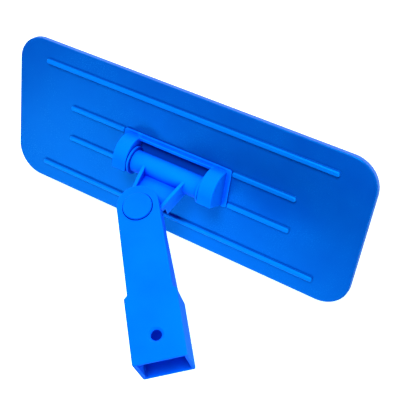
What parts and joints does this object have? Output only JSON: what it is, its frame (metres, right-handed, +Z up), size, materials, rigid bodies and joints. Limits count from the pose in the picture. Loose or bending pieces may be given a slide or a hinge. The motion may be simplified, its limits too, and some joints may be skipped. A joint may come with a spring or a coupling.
{
  "type": "swivel scrub pad holder",
  "caption": "Ribbed oblong plate that grips a scrubbing pad, carried by a hinge barrel and a flat swivel on a tapered handle that ends in a rectangular pole socket",
  "frame": {"origin": "centre of the pad face, on the lowest surface of the middle hook strip", "axes": "X runs along the plate and the hinge barrel, Y runs across the plate, Z points up, away from the pad; the handle leans towards -Y and +X as stored"},
  "size_m": [0.235, 0.1209, 0.1089],
  "materials": {
    "plate_plastic": "satin moulded blue",
    "joint_plastic": "satin moulded blue",
    "handle_plastic": "satin moulded blue",
    "hook_strip": "fine hook fastener, black",
    "steel": "plain zinc-plated"
  },
  "bodies": {
    "holder": {"base_plate": "plate_plastic", "grip_strip_back": "hook_strip", "grip_strip_middle": "hook_strip", "grip_strip_front": "hook_strip", "bracket_screw_left_back": "steel", "bracket_screw_right_back": "steel", "bracket_screw_left_front": "steel", "bracket_screw_right_front": "steel", "hinge_bracket": "joint_plastic", "hinge_pin": "steel", "thrust_washer_left": "joint_plastic", "thrust_washer_right": "joint_plastic"},
    "yoke_body": {"yoke": "joint_plastic"},
    "handle": {"pole_socket_handle": "handle_plastic", "swivel_pin": "joint_plastic", "swivel_washer": "steel", "swivel_cap": "joint_plastic"}
  },
  "joints": [
    {"name": "yoke_tilt", "type": "hinge", "parent": "holder", "child": "yoke_body", "pos_m": [0, -0.002, 0.0126], "axis": [1, 0, 0], "range_deg": [-98.2, 36.8]},
    {"name": "handle_swivel", "type": "hinge", "parent": "yoke_body", "child": "handle", "pos_m": [0, -0.01815, 0.03728], "axis": [0, 0.8368, 0.5476], "range_deg": [-89.3, 10.7]}
  ]
}
